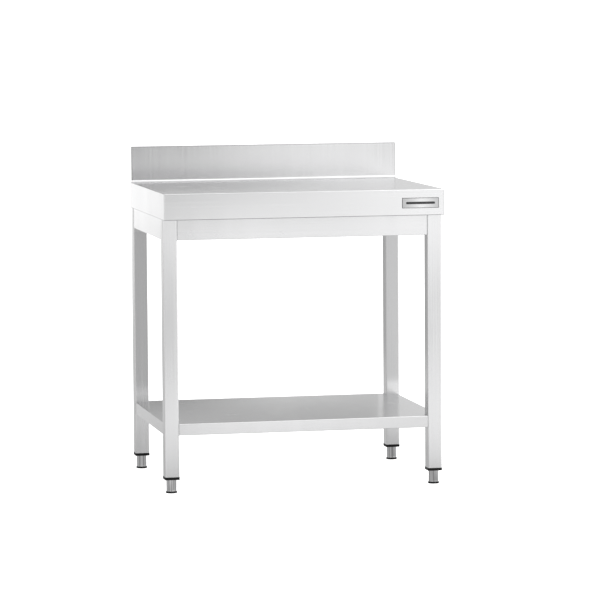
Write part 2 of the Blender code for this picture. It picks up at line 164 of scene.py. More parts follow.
# ---------------------------------------------------------------- materials
def worktop_shade_and_dark_lines(nt):
    """White along the worktop's lower edge, as painted shade of the gap over the rails, and in thin darker lines
    along the upstand's top edge, its ends and the lower front-right corner.
    """
    tc = nt.nodes.new("ShaderNodeTexCoord")
    sep = nt.nodes.new("ShaderNodeSeparateXYZ")
    nt.links.new(tc.outputs["Object"], sep.inputs[0])
    x, y, z = sep.outputs
    ax = maths(nt, "ABSOLUTE", x)
    end = HW - UPSTAND_INSET
    # painted shade along the lower edge, where the gap over the rails is
    hem = ranged(nt, z, 1.0, 0.0, TOP_BOTTOM + 0.0011, TOP_BOTTOM + 0.0021)
    # thin darker lines along the upstand's top edge, its ends and the lower front-right corner
    rim = ranged(nt, z, 0.0, 0.8, UP_TOP - 0.0024, UP_TOP - 0.0014)
    above = ranged(nt, z, 0.0, 0.8, HEIGHT + 0.006, HEIGHT + 0.008)
    front = ranged(nt, y, 1.0, 0.0, UP_FACE + 0.0010, UP_FACE + 0.0020)
    ends = maths(nt, "MULTIPLY", ranged(nt, ax, 0.0, 1.0, end - 0.0022, end - 0.0014), maths(nt, "MULTIPLY", above, front))
    below = ranged(nt, z, 0.8, 0.0, HEIGHT - 0.004, HEIGHT - 0.003)
    corner = ranged(nt, y, 1.0, 0.0, -HD + 0.0014, -HD + 0.0026)
    right = maths(nt, "MULTIPLY", ranged(nt, x, 0.0, 1.0, HW - 0.0022, HW - 0.0012), maths(nt, "MULTIPLY", below, corner))
    return maths(nt, "MAXIMUM", maths(nt, "MAXIMUM", hem, rim), maths(nt, "MAXIMUM", ends, right))


def brushed_steel(name, grain, tint=(0.70, 0.70, 0.705), rough=0.24, anisotropy=0.45, streak=0.5, shade_and_lines=None):
    """Stainless sheet, satin brushed along one axis: fine lines, longer streaks, faint smears."""
    mat, nt, bsdf = new_material(name)
    along, across = 9.0, 2600.0
    fine = tuple(along if a == grain else across for a in "XYZ")
    long_ = tuple(1.6 if a == grain else 260.0 for a in "XYZ")
    lines = noise(nt, mapped(nt, fine), detail=3.0, rough=0.65)
    streaks = noise(nt, mapped(nt, long_), detail=2.0, rough=0.55)
    smears = noise(nt, mapped(nt, (26.0, 7.0, 1.6) if grain == "X" else (7.0, 7.0, 3.0)), detail=3.0, rough=0.6,
                   distortion=0.3)
    sharp_edges = edge_mask(nt, 1.0, 0.0006)

    dark = tuple(c * (1.0 - 0.05 * streak) for c in tint)
    light = tuple(min(1.0, c * (1.0 + 0.04 * streak)) for c in tint)
    base = mix_colour(nt, ranged(nt, streaks, 0.0, 1.0, 0.3, 0.7), dark, light)
    # lighter at sharp edges: partly rubbed wear, partly painted highlight
    base = mix_colour(nt, maths(nt, "MULTIPLY", sharp_edges, 0.35), base, tuple(min(1.0, c * 1.12) for c in tint))
    # painted shade and darker lines: where the mask is white, the base colour is pulled towards dark grey
    if shade_and_lines:
        base = mix_colour(nt, maths(nt, "MULTIPLY", shade_and_lines(nt), 0.62), base, (0.16, 0.16, 0.165))
    nt.links.new(base, bsdf.inputs["Base Color"])
    bsdf.inputs["Metallic"].default_value = 1.0

    r = maths(nt, "ADD", ranged(nt, streaks, rough - 0.020, rough + 0.020, 0.3, 0.7),
              ranged(nt, smears, -0.022, 0.022, 0.3, 0.7))
    r = maths(nt, "ADD", r, ranged(nt, lines, -0.012, 0.012, 0.3, 0.7))
    r = maths(nt, "SUBTRACT", r, maths(nt, "MULTIPLY", sharp_edges, 0.05))
    nt.links.new(r, bsdf.inputs["Roughness"])

    bsdf.inputs["Anisotropic"].default_value = anisotropy
    tan = nt.nodes.new("ShaderNodeTangent")
    tan.direction_type = "UV_MAP"
    tan.uv_map = "Grain"
    nt.links.new(tan.outputs["Tangent"], bsdf.inputs["Tangent"])

    bump = nt.nodes.new("ShaderNodeBump")
    bump.inputs["Strength"].default_value = 0.10
    bump.inputs["Distance"].default_value = 0.00004
    nt.links.new(lines, bump.inputs["Height"])
    wave = nt.nodes.new("ShaderNodeBump")
    wave.inputs["Strength"].default_value = 0.12
    wave.inputs["Distance"].default_value = 0.00025
    nt.links.new(smears, wave.inputs["Height"])
    nt.links.new(bump.outputs["Normal"], wave.inputs["Normal"])
    nt.links.new(wave.outputs["Normal"], bsdf.inputs["Normal"])
    return mat


def turned_steel(name, tint=(0.72, 0.72, 0.725), rough=0.09):
    """Polished drawn tube: draw lines down its length, faint rings from the polishing lathe."""
    mat, nt, bsdf = new_material(name)
    rings = noise(nt, mapped(nt, (6.0, 6.0, 3200.0)), detail=2.0, rough=0.6)
    smears = noise(nt, mapped(nt, (60.0, 60.0, 60.0)), detail=3.0, rough=0.6)
    sharp_edges = edge_mask(nt, 1.0, 0.0006)
    drawn = noise(nt, mapped(nt, (330.0, 330.0, 2.0)), detail=2.0, rough=0.5)
    base = mix_colour(nt, ranged(nt, smears, 0.0, 1.0, 0.35, 0.65), tuple(c * 0.95 for c in tint), tint)
    base = mix_colour(nt, ranged(nt, drawn, 1.0, 0.0, 0.42, 0.56), base, tuple(c * 0.50 for c in tint))
    nt.links.new(base, bsdf.inputs["Base Color"])
    bsdf.inputs["Metallic"].default_value = 1.0
    r = maths(nt, "ADD", ranged(nt, rings, rough - 0.02, rough + 0.02, 0.3, 0.7),
              ranged(nt, smears, -0.02, 0.02, 0.3, 0.7))
    r = maths(nt, "SUBTRACT", r, maths(nt, "MULTIPLY", sharp_edges, 0.04))
    nt.links.new(r, bsdf.inputs["Roughness"])
    bump = nt.nodes.new("ShaderNodeBump")
    bump.inputs["Strength"].default_value = 0.12
    bump.inputs["Distance"].default_value = 0.00003
    nt.links.new(rings, bump.inputs["Height"])
    nt.links.new(bump.outputs["Normal"], bsdf.inputs["Normal"])
    return mat


def black_plastic(name):
    """Injection-moulded polyamide: fine spark-eroded grain, edges rubbed a little paler."""
    mat, nt, bsdf = new_material(name)
    grain = noise(nt, mapped(nt, (1900.0, 1900.0, 1900.0)), detail=3.0, rough=0.6)
    dust = noise(nt, mapped(nt, (45.0, 45.0, 45.0)), detail=4.0, rough=0.65)
    sharp_edges = edge_mask(nt, 1.0, 0.0007)
    base = mix_colour(nt, ranged(nt, dust, 0.0, 1.0, 0.35, 0.7), (0.0075, 0.0075, 0.0078), (0.016, 0.016, 0.0165))
    base = mix_colour(nt, maths(nt, "MULTIPLY", sharp_edges, 0.5), base, (0.030, 0.030, 0.031))
    nt.links.new(base, bsdf.inputs["Base Color"])
    r = maths(nt, "ADD", ranged(nt, grain, 0.42, 0.55, 0.3, 0.7), ranged(nt, dust, -0.05, 0.07, 0.35, 0.7))
    nt.links.new(r, bsdf.inputs["Roughness"])
    bsdf.inputs["Specular IOR Level"].default_value = 0.12
    bump = nt.nodes.new("ShaderNodeBump")
    bump.inputs["Strength"].default_value = 0.25
    bump.inputs["Distance"].default_value = 0.00008
    nt.links.new(grain, bump.inputs["Height"])
    nt.links.new(bump.outputs["Normal"], bsdf.inputs["Normal"])
    return mat


def zinc_plate(name):
    """Blue-passivated zinc on fasteners: mottled, faintly cool, brighter on the worn edges."""
    mat, nt, bsdf = new_material(name)
    mottle = noise(nt, mapped(nt, (380.0, 380.0, 380.0)), detail=4.0, rough=0.62)
    fine = noise(nt, mapped(nt, (2400.0, 2400.0, 2400.0)), detail=2.0)
    sharp_edges = edge_mask(nt, 1.0, 0.0004)
    base = mix_colour(nt, ranged(nt, mottle, 0.0, 1.0, 0.35, 0.65), (0.50, 0.52, 0.54), (0.64, 0.65, 0.65))
    base = mix_colour(nt, maths(nt, "MULTIPLY", sharp_edges, 0.6), base, (0.74, 0.74, 0.74))
    nt.links.new(base, bsdf.inputs["Base Color"])
    bsdf.inputs["Metallic"].default_value = 1.0
    nt.links.new(ranged(nt, mottle, 0.26, 0.42, 0.3, 0.7), bsdf.inputs["Roughness"])
    bump = nt.nodes.new("ShaderNodeBump")
    bump.inputs["Strength"].default_value = 0.2
    bump.inputs["Distance"].default_value = 0.00004
    nt.links.new(fine, bump.inputs["Height"])
    nt.links.new(bump.outputs["Normal"], bsdf.inputs["Normal"])
    return mat


def faced_board(name):
    """Chipboard with a pale grey melamine face: faint flakes show through, with a fine satin texture."""
    mat, nt, bsdf = new_material(name)
    vec = mapped(nt, (1.0, 1.0, 2.4))
    vor = nt.nodes.new("ShaderNodeTexVoronoi")
    vor.inputs["Scale"].default_value = 300.0
    nt.links.new(vec, vor.inputs["Vector"])
    sep = nt.nodes.new("ShaderNodeSeparateColor")
    nt.links.new(vor.outputs["Color"], sep.inputs["Color"])
    fine = noise(nt, vec, detail=4.0, rough=0.6, scale=700.0)
    dust = noise(nt, vec, detail=4.0, rough=0.6, scale=9.0)
    base = mix_colour(nt, sep.outputs["Red"], (0.44, 0.44, 0.435), (0.50, 0.50, 0.495))
    base = mix_colour(nt, ranged(nt, dust, 0.0, 0.5, 0.45, 0.75), base, (0.38, 0.38, 0.375))
    nt.links.new(base, bsdf.inputs["Base Color"])
    nt.links.new(ranged(nt, fine, 0.42, 0.58, 0.3, 0.7), bsdf.inputs["Roughness"])
    bump = nt.nodes.new("ShaderNodeBump")
    bump.inputs["Strength"].default_value = 0.3
    bump.inputs["Distance"].default_value = 0.00008
    nt.links.new(fine, bump.inputs["Height"])
    nt.links.new(bump.outputs["Normal"], bsdf.inputs["Normal"])
    return mat


STEEL_X = brushed_steel("steel_brushed_x", "X")
STEEL_Y = brushed_steel("steel_brushed_y", "Y")
STEEL_Z = brushed_steel("steel_brushed_z", "Z")
STEEL_TOP = brushed_steel("steel_worktop", "X", shade_and_lines=worktop_shade_and_dark_lines)
STEEL_UPSTAND = brushed_steel("steel_upstand", "Z", rough=0.18, shade_and_lines=worktop_shade_and_dark_lines)
STEEL_TURNED = turned_steel("steel_turned")
PLASTIC = black_plastic("plastic_black")
ZINC = zinc_plate("zinc_fasteners")
BOARD = faced_board("board_melamine")


# ---------------------------------------------------------------- mesh helpers
def box_bm(lo, hi):
    bm = bmesh.new()
    size = Vector(hi) - Vector(lo)
    mid = (Vector(hi) + Vector(lo)) / 2
    bmesh.ops.create_cube(bm, size=1.0, matrix=Matrix.Translation(mid) @ Matrix.Diagonal((*size, 1.0)))
    return bm


def prism_bm(outline, axis, start, end):
    """A closed outline of 2-D points swept along a world axis; its coordinates are the other two axes in X, Y, Z order."""
    def point(p, t):
        return {"X": (t, p[0], p[1]), "Y": (p[0], t, p[1]), "Z": (p[0], p[1], t)}[axis]

    bm = bmesh.new()
    a = [bm.verts.new(point(p, start)) for p in outline]
    b = [bm.verts.new(point(p, end)) for p in outline]
    n = len(outline)
    bm.faces.new(a)
    bm.faces.new(list(reversed(b)))
    for i in range(n):
        j = (i + 1) % n
        bm.faces.new((a[i], b[i], b[j], a[j]))
    bmesh.ops.recalc_face_normals(bm, faces=bm.faces[:])
    return bm


def arc(cx, cy, r, a0, a1, seg):
    return [(cx + r * math.cos(math.radians(a0 + (a1 - a0) * i / seg)),
             cy + r * math.sin(math.radians(a0 + (a1 - a0) * i / seg))) for i in range(seg + 1)]


def rounded_square(hx, hy, r, cx=0.0, cy=0.0, seg=8):
    pts = []
    for k, (sx, sy) in enumerate(((1, 1), (-1, 1), (-1, -1), (1, -1))):
        pts += arc(cx + sx * (hx - r), cy + sy * (hy - r), r, 90 * k, 90 * (k + 1), seg)
    return pts


def circle(r, cx=0.0, cy=0.0, sides=48):
    return [(cx + r * math.cos(2 * math.pi * (i + 0.5) / sides), cy + r * math.sin(2 * math.pi * (i + 0.5) / sides))
            for i in range(sides)]


def turned_bm(profile, sides, cx=0.0, cy=0.0):
    """Spin an (r, z) profile, given from top to bottom with its ends on the axis, into a closed solid."""
    bm = bmesh.new()
    rings = []
    for r, z in profile:
        if r < 1e-7:
            rings.append([bm.verts.new((cx, cy, z))])
        else:
            rings.append([bm.verts.new((cx + r * math.cos(2 * math.pi * i / sides),
                                        cy + r * math.sin(2 * math.pi * i / sides), z)) for i in range(sides)])
    for a, b in zip(rings, rings[1:]):
        for i in range(sides):
            j = (i + 1) % sides
            if len(a) == 1:
                bm.faces.new((a[0], b[i], b[j]))
            elif len(b) == 1:
                bm.faces.new((a[i], b[0], a[j]))
            else:
                bm.faces.new((a[i], b[i], b[j], a[j]))
    bmesh.ops.recalc_face_normals(bm, faces=bm.faces[:])
    return bm


def to_object(name, bm):
    mesh = bpy.data.meshes.new(name)
    bm.to_mesh(mesh)
    bm.free()
    obj = bpy.data.objects.new(name, mesh)
    bpy.context.scene.collection.objects.link(obj)
    return obj


def applied(obj):
    """Replace the object's mesh by the one its modifiers make."""
    bpy.context.view_layer.update()
    dg = bpy.context.evaluated_depsgraph_get()
    mesh = bpy.data.meshes.new_from_object(obj.evaluated_get(dg), preserve_all_data_layers=True, depsgraph=dg)
    old = obj.data
    obj.modifiers.clear()
    obj.data = mesh
    bpy.data.meshes.remove(old)
    mesh.name = obj.name
    return obj


def combine(obj, steps):
    """Cut ("-") or join ("+") solids one after another with exact Booleans."""
    tools = []
    for sign, bm in steps:
        tool = to_object("tool", bm)
        tools.append(tool)
        mod = obj.modifiers.new("b", "BOOLEAN")
        mod.operation = "UNION" if sign == "+" else "DIFFERENCE"
        mod.solver = "EXACT"
        mod.object = tool
    applied(obj)
    for tool in tools:
        mesh = tool.data
        bpy.data.objects.remove(tool)
        bpy.data.meshes.remove(mesh)
    return obj


def bevel_edges(bm, chosen, width, segments, profile=0.5):
    edges = [e for e in bm.edges if chosen(e)]
    if edges:
        bmesh.ops.bevel(bm, geom=edges, offset=width, segments=segments, profile=profile, affect="EDGES")


def grain_uv(obj, grain):
    """A UV map whose U runs square to the grain on every face, so that highlights stretch across the brushing."""
    mesh = obj.data
    uv = mesh.uv_layers.get("Grain") or mesh.uv_layers.new(name="Grain")
    g0 = {"X": Vector((1, 0, 0)), "Y": Vector((0, 1, 0)), "Z": Vector((0, 0, 1))}[grain]
    other = Vector((0, 1, 0)) if grain != "Y" else Vector((1, 0, 0))
    flat = np.zeros(len(mesh.loops) * 2, np.float32)
    co = np.zeros(len(mesh.vertices) * 3, np.float32)
    mesh.vertices.foreach_get("co", co)
    co = co.reshape(-1, 3)
    for p in mesh.polygons:
        n = p.normal
        g = g0 if abs(n.dot(g0)) < 0.8 else other
        g = (g - n * n.dot(g)).normalized()
        u = n.cross(g)
        for li in p.loop_indices:
            c = co[mesh.loops[li].vertex_index]
            flat[2 * li] = c[0] * u.x + c[1] * u.y + c[2] * u.z
            flat[2 * li + 1] = c[0] * g.x + c[1] * g.y + c[2] * g.z
    uv.data.foreach_set("uv", flat)


def polish(obj, soften=0.00022, segments=2, angle=40.0, smooth=42.0):
    """Merge stray points, break the sharp edges, and give flats true normals."""
    bm = bmesh.new()
    bm.from_mesh(obj.data)
    bmesh.ops.remove_doubles(bm, verts=bm.verts[:], dist=2e-7)
    bmesh.ops.dissolve_degenerate(bm, edges=bm.edges[:], dist=1e-7)
    bmesh.ops.recalc_face_normals(bm, faces=bm.faces[:])
    bm.to_mesh(obj.data)
    bm.free()
    if soften:
        mod = obj.modifiers.new("edge", "BEVEL")
        mod.width = soften
        mod.segments = segments
        mod.limit_method = "ANGLE"
        mod.angle_limit = math.radians(angle)
        mod.use_clamp_overlap = True
        applied(obj)
        bm = bmesh.new()
        bm.from_mesh(obj.data)
        bmesh.ops.remove_doubles(bm, verts=bm.verts[:], dist=2e-5)
        bmesh.ops.dissolve_degenerate(bm, edges=bm.edges[:], dist=5e-6)
        bm.to_mesh(obj.data)
        bm.free()
    obj.data.shade_smooth()
    obj.data.set_sharp_from_angle(angle=math.radians(smooth))
    mod = obj.modifiers.new("flats", "WEIGHTED_NORMAL")
    mod.keep_sharp = True
    mod.weight = 100
    applied(obj)
    return obj


def finish_piece(obj, node, mat, grain=None):
    obj.data.materials.clear()
    obj.data.materials.append(mat)
    if grain:
        grain_uv(obj, grain)
    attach(obj, BODY[node])
    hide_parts(node)
    return obj


def along(e, axis):
    d = e.verts[0].co - e.verts[1].co
    return abs(d[axis]) > 0.999 * d.length and d.length > 1e-5


# ---------------------------------------------------------------- worktop
def make_worktop():
    bm = box_bm((-HW, -HD, TOP_BOTTOM), (HW, HD, HEIGHT))
    bevel_edges(bm, lambda e: along(e, 2) and e.verts[0].co.y < 0, 0.0025, 7)
    bevel_edges(bm, lambda e: all(abs(v.co.z - HEIGHT) < 1e-6 for v in e.verts)
                and not all(abs(v.co.y - HD) < 1e-6 for v in e.verts)
                and any(abs(f.normal.z) < 0.5 for f in e.link_faces), 0.0025, 7)
    bevel_edges(bm, lambda e: all(abs(v.co.z - TOP_BOTTOM) < 1e-6 for v in e.verts)
                and all(v.co.y < -HD + 0.0026 for v in e.verts)
                and any(abs(f.normal.z) < 0.5 for f in e.link_faces), 0.0020, 6)
    top = to_object("worktop_steel", bm)

    x_end = HW - UPSTAND_INSET
    cy, cz = UP_FACE - COVE_R, HEIGHT + COVE_R
    r = 0.0015
    outline = [(HD, HEIGHT - 0.010)]
    outline += arc(HD - r, UP_TOP - r, r, 0, 90, 5)
    outline += arc(UP_FACE + r, UP_TOP - r, r, 90, 180, 5)
    outline += arc(cy, cz, COVE_R, 0, -90, 14)
    outline += [(cy, HEIGHT - 0.010)]
    up = prism_bm(outline, "X", -x_end, x_end)
    bevel_edges(up, lambda e: along(e, 2) and abs(e.verts[0].co.y - UP_FACE) < 1e-5
                and e.calc_length() > 0.05, 0.0006, 3)

    t = SHEET
    pan = box_bm((-HW + t, -HD + t, TOP_BOTTOM + t), (HW - t, HD - t, HEIGHT - t))
    bevel_edges(pan, lambda e: all(v.co.z > HEIGHT - t - 1e-6 for v in e.verts)
                and not all(v.co.y > 0 for v in e.verts), 0.0013, 3)
    mouth = box_bm((-HW + t, -HD + t + FRONT_HEM, TOP_BOTTOM - 0.01), (HW - t, HD - t, TOP_BOTTOM + 0.02))
    inner = [(HD - t, HEIGHT - 0.008), (HD - t, UP_TOP - t), (UP_FACE + t, UP_TOP - t)]
    inner += arc(cy, cz, COVE_R + t, 0, -90, 14)
    inner += [(cy, HEIGHT - 0.008)]
    hollow = prism_bm(inner, "X", -x_end + t, x_end - t)
    combine(top, [("+", up), ("-", pan), ("-", mouth), ("-", hollow)])
    polish(top)
    finish_piece(top, "worktop", STEEL_TOP, "X")
    top.data.materials.append(STEEL_UPSTAND)
    mesh, uv = top.data, top.data.uv_layers["Grain"]
    for p in mesh.polygons:
        if abs(p.normal.y) > 0.9 and p.center.z > HEIGHT + COVE_R - 0.001 and p.center.y < HD - 0.004:
            p.material_index = 1
            for li in p.loop_indices:
                c = mesh.vertices[mesh.loops[li].vertex_index].co
                uv.data[li].uv = (c.x, c.z)
    return top


# ---------------------------------------------------------------- legs
def leg_centre(corner):
    c = centre("leg_" + corner)
    return c.x, c.y


def make_leg(corner):
    lo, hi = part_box("leg_" + corner)
    cx, cy = (lo.x + hi.x) / 2, (lo.y + hi.y) / 2
    bm = prism_bm(rounded_square(LEG / 2, LEG / 2, LEG_R, cx, cy), "Z", lo.z, hi.z)
    leg = to_object(f"leg_{corner}_tube", bm)
    steps = [("-", prism_bm(rounded_square(LEG / 2 - LEG_WALL, LEG / 2 - LEG_WALL, LEG_R - LEG_WALL, cx, cy), "Z",
                            lo.z - 0.01, hi.z + 0.01))]
    sx, sy = (1 if cx > 0 else -1), (1 if cy > 0 else -1)
    short = {"front_left": "fl", "front_right": "fr", "rear_left": "rl", "rear_right": "rr"}[corner]
    for node in sorted(NODES):
        if "bolt_" + short + "_" not in node:
            continue
        c = centre(node)
        if "_end" in node:
            face = cx - sx * LEG / 2
            steps.append(("-", prism_bm(circle(0.0033, c.y, c.z, 24), "X", face - 0.004, face + 0.004)))
        else:
            face = cy - sy * LEG / 2
            steps.append(("-", prism_bm(circle(0.0033, c.x, c.z, 24), "Y", face - 0.004, face + 0.004)))
    combine(leg, steps)
    polish(leg, soften=0.00015)
    return finish_piece(leg, "leg_" + corner, STEEL_Z, "Z")


# ---------------------------------------------------------------- rails
def make_rail(side):
    node = "apron_" + side
    lo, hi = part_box(node)
    t, r = 0.0012, 0.0020
    bm = box_bm(lo, hi)
    if side in ("front", "rear"):
        face = lo.y if side == "front" else hi.y
        bevel_edges(bm, lambda e: all(abs(v.co.y - face) < 1e-6 for v in e.verts), r, 5)
        hollow_lo = Vector((lo.x + t, lo.y + (t if side == "front" else -0.01), lo.z + t))
        hollow_hi = Vector((hi.x - t, hi.y + (0.01 if side == "front" else -t), hi.z - t))
        deep = face + (t if side == "front" else -t)
        hollow = box_bm(hollow_lo, hollow_hi)
        bevel_edges(hollow, lambda e: all(abs(v.co.y - deep) < 1e-6 for v in e.verts), r - t, 3)
        grain = "X"
    else:
        face = lo.x if side == "left" else hi.x
        bevel_edges(bm, lambda e: all(abs(v.co.x - face) < 1e-6 for v in e.verts), r, 5)
        hollow_lo = Vector((lo.x + (t if side == "left" else -0.01), lo.y + t, lo.z + t))
        hollow_hi = Vector((hi.x + (0.01 if side == "left" else -t), hi.y - t, hi.z - t))
        deep = face + (t if side == "left" else -t)
        hollow = box_bm(hollow_lo, hollow_hi)
        bevel_edges(hollow, lambda e: all(abs(v.co.x - deep) < 1e-6 for v in e.verts), r - t, 3)
        grain = "Y"
    rail = to_object(f"rail_{side}_steel", bm)
    steps = [("-", hollow)]
    for n in sorted(NODES):
        if not n.startswith("frame_bolt_"):
            continue
        c = centre(n)
        blo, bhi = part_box(n)
        if all(blo[i] < hi[i] + 0.02 and bhi[i] > lo[i] - 0.02 for i in range(3)):
            if side in ("front", "rear") and "_end" in n and lo.y < c.y < hi.y:
                end = lo.x if c.x < 0 else hi.x
                steps.append(("-", prism_bm(circle(0.0033, c.y, c.z, 24), "X", end - 0.004, end + 0.004)))
            if side in ("left", "right") and "_side" in n and lo.x < c.x < hi.x:
                end = lo.y if c.y < 0 else hi.y
                steps.append(("-", prism_bm(circle(0.0033, c.x, c.z, 24), "Y", end - 0.004, end + 0.004)))
    s = centre("top_screw_" + side)
    steps.append(("-", prism_bm(circle(0.0024, s.x, s.y, 20), "Z", hi.z - 0.006, hi.z + 0.006)))
    combine(rail, steps)
    polish(rail, soften=0.00018)
    return finish_piece(rail, node, STEEL_X if grain == "X" else STEEL_Y, grain)


# ---------------------------------------------------------------- shelf
def make_shelf():
    lo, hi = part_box("shelf")
    leg_lo, leg_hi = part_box("leg_front_right")
    rear_lo, rear_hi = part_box("leg_rear_right")
    gap, t, hem = 0.0003, 0.0010, 0.011

    def outline(inset):
        x, yf, yr = hi.x - inset, lo.y + inset, hi.y - inset
        nx, nyf, nyr = leg_lo.x - gap - inset, leg_hi.y + gap + inset, rear_lo.y - gap - inset
        return [(-nx, yf), (nx, yf), (nx, nyf), (x, nyf), (x, nyr), (nx, nyr), (nx, yr),
                (-nx, yr), (-nx, nyr), (-x, nyr), (-x, nyf), (-nx, nyf)]

    def outer(e, z):
        a, b = e.verts[0].co, e.verts[1].co
        if abs(a.z - z) > 1e-6 or abs(b.z - z) > 1e-6:
            return False
        return (abs(abs(a.x) - hi.x) < 1e-5 and abs(a.x - b.x) < 1e-6) or \
            (min(abs(a.y - lo.y), abs(a.y - hi.y)) < 1e-5 and abs(a.y - b.y) < 1e-6)

    bm = prism_bm(outline(0.0), "Z", lo.z, hi.z)
    bevel_edges(bm, lambda e: outer(e, hi.z), 0.0020, 6)
    bevel_edges(bm, lambda e: outer(e, lo.z), 0.0014, 4)
    shelf = to_object("shelf_steel", bm)
    steps = [("-", prism_bm(outline(t), "Z", lo.z + t, hi.z - t)),
             ("-", prism_bm(outline(hem), "Z", lo.z - 0.01, lo.z + 0.006))]
    for n in sorted(NODES):
        if n.startswith("shelf_bolt_"):
            c = centre(n)
            if "_end" in n:
                face = math.copysign(leg_lo.x - gap, c.x)
                steps.append(("-", prism_bm(circle(0.0033, c.y, c.z, 24), "X", face - 0.004, face + 0.004)))
            else:
                face = leg_hi.y + gap if c.y < 0 else rear_lo.y - gap
                steps.append(("-", prism_bm(circle(0.0033, c.x, c.z, 24), "Y", face - 0.004, face + 0.004)))
    combine(shelf, steps)
    polish(shelf, soften=0.00018)
    return finish_piece(shelf, "shelf", STEEL_X, "X")


# ---------------------------------------------------------------- feet
def make_foot(corner):
    cx, cy = leg_centre(corner)

    # end cap: a soft-edged flange, a ribbed plug up the tube, a round mouth with a small lip
    lo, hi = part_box("leg_cap_" + corner)
    flange_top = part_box("leg_" + corner)[0].z - 0.0003
    flange = prism_bm(rounded_square(0.0415 / 2, 0.0415 / 2, 0.0030, cx, cy), "Z", lo.z, flange_top)
    bevel_edges(flange, lambda e: all(abs(v.co.z - lo.z) < 1e-6 for v in e.verts), 0.0012, 4)
    bevel_edges(flange, lambda e: all(abs(v.co.z - flange_top) < 1e-6 for v in e.verts), 0.0004, 2)
    cap = to_object(f"cap_{corner}_plastic", flange)
    plug = prism_bm(rounded_square(0.0352 / 2, 0.0352 / 2, 0.0015, cx, cy, 5), "Z", flange_top - 0.004, hi.z)
    bevel_edges(plug, lambda e: all(abs(v.co.z - hi.z) < 1e-6 for v in e.verts), 0.0010, 3)
    steps = [("+", plug)]
    for k in range(6):
        z = flange_top + 0.006 + k * 0.0095
        rib = prism_bm(rounded_square(0.0370 / 2, 0.0370 / 2, 0.0015, cx, cy, 5), "Z", z, z + 0.0022)
        bevel_edges(rib, lambda e, a=z: all(abs(v.co.z - a - 0.0022) < 1e-6 for v in e.verts), 0.0006, 2)
        steps.append(("+", rib))
    steps.append(("-", turned_bm([(0, 0.0980), (0.0138, 0.0980), (0.0144, 0.0974), (0.0144, lo.z + 0.0008),
                                  (0.0152, lo.z), (0.0152, lo.z - 0.004), (0, lo.z - 0.004)], 64, cx, cy)))
    steps.append(("-", prism_bm(circle(0.0053, cx, cy, 32), "Z", 0.09, hi.z + 0.01)))
    combine(cap, steps)
    polish(cap, soften=0.0)
    finish_piece(cap, "leg_cap_" + corner, PLASTIC)

    # sleeve: drawn tube with a rolled lower lip, closed round the spindle at the top
    lo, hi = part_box("foot_sleeve_" + corner)
    R, w = 0.0140, 0.0012
    outline = [(0, hi.z), (R - 0.0012, hi.z)]
    outline += [(R - 0.0012 + 0.0012 * math.sin(math.radians(a)), hi.z - 0.0012 + 0.0012 * math.cos(math.radians(a)))
                for a in (22.5, 45, 67.5, 90)]
    outline += [(R, lo.z + 0.0040), (R - 0.00025, lo.z + 0.0037), (R - 0.00025, lo.z + 0.0031), (R, lo.z + 0.0028),
                (R, lo.z + 0.0005), (R - 0.00015, lo.z + 0.00015), (R - 0.0005, lo.z), (0, lo.z)]
    sleeve = to_object(f"sleeve_{corner}_steel", turned_bm(outline, 72, cx, cy))
    bore = turned_bm([(0, hi.z - 0.003), (R - w - 0.0005, hi.z - 0.003), (R - w, hi.z - 0.0035), (R - w, lo.z - 0.01),
                      (0, lo.z - 0.01)], 72, cx, cy)
    combine(sleeve, [("-", bore), ("-", prism_bm(circle(0.0053, cx, cy, 32), "Z", hi.z - 0.01, hi.z + 0.01))])
    polish(sleeve, soften=0.0)
    finish_piece(sleeve, "foot_sleeve_" + corner, STEEL_TURNED)

    # glide: a crowned disc with a plug that snaps into the sleeve
    lo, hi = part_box("foot_pad_" + corner)
    P, q = 0.0160, 0.0125
    outline = [(0, hi.z), (q - 0.0012, hi.z), (q, hi.z - 0.0012), (q, 0.0098), (q - 0.0004, 0.0094),
               (q - 0.0004, 0.0082), (q, 0.0078), (q, 0.0045)]
    outline += [(P - 0.0010, 0.0045), (P - 0.0003, 0.0042), (P, 0.0035), (P, 0.0014), (P - 0.0004, 0.0005),
                (P - 0.0012, 0.0), (0.0105, 0.0), (0.0102, 0.0004), (0, 0.0004)]
    pad = to_object(f"glide_{corner}_plastic", turned_bm(outline, 72, cx, cy))
    polish(pad, soften=0.0)
    finish_piece(pad, "foot_pad_" + corner, PLASTIC)


# ---------------------------------------------------------------- badge
def badge_material():
    """Satin aluminium plate: a dark painted border and one plain dark inlay, wiped back along the raised edges, with
    a painted highlight that lightens it towards x = 0.335.
    """
    mat, nt, bsdf = new_material("badge_aluminium")
    lines = noise(nt, mapped(nt, (14.0, 14.0, 2600.0)), detail=3.0, rough=0.6)
    cloud = noise(nt, mapped(nt, (60.0, 60.0, 60.0)), detail=3.0)
    sharp_edges = edge_mask(nt, 1.0, 0.0005)
    base = mix_colour(nt, ranged(nt, lines, 0.0, 1.0, 0.3, 0.7), (0.42, 0.42, 0.424), (0.50, 0.50, 0.504))
    tc = nt.nodes.new("ShaderNodeTexCoord")
    sep = nt.nodes.new("ShaderNodeSeparateXYZ")
    nt.links.new(tc.outputs["Object"], sep.inputs[0])
    # painted highlight: the plate turns much lighter towards x = 0.335, fading out 50 mm to either side
    away = maths(nt, "ABSOLUTE", maths(nt, "SUBTRACT", sep.outputs[0], 0.335))
    base = mix_colour(nt, ranged(nt, away, 0.75, 0.0, 0.006, 0.050), base, (0.78, 0.78, 0.785))
    base = mix_colour(nt, maths(nt, "MULTIPLY", sharp_edges, 0.4), base, (0.50, 0.50, 0.50))
    nt.links.new(base, bsdf.inputs["Base Color"])
    bsdf.inputs["Metallic"].default_value = 1.0
    nt.links.new(ranged(nt, cloud, 0.26, 0.36, 0.3, 0.7), bsdf.inputs["Roughness"])
    bump = nt.nodes.new("ShaderNodeBump")
    bump.inputs["Strength"].default_value = 0.15
    bump.inputs["Distance"].default_value = 0.00004
    nt.links.new(lines, bump.inputs["Height"])
    nt.links.new(bump.outputs["Normal"], bsdf.inputs["Normal"])
    return mat


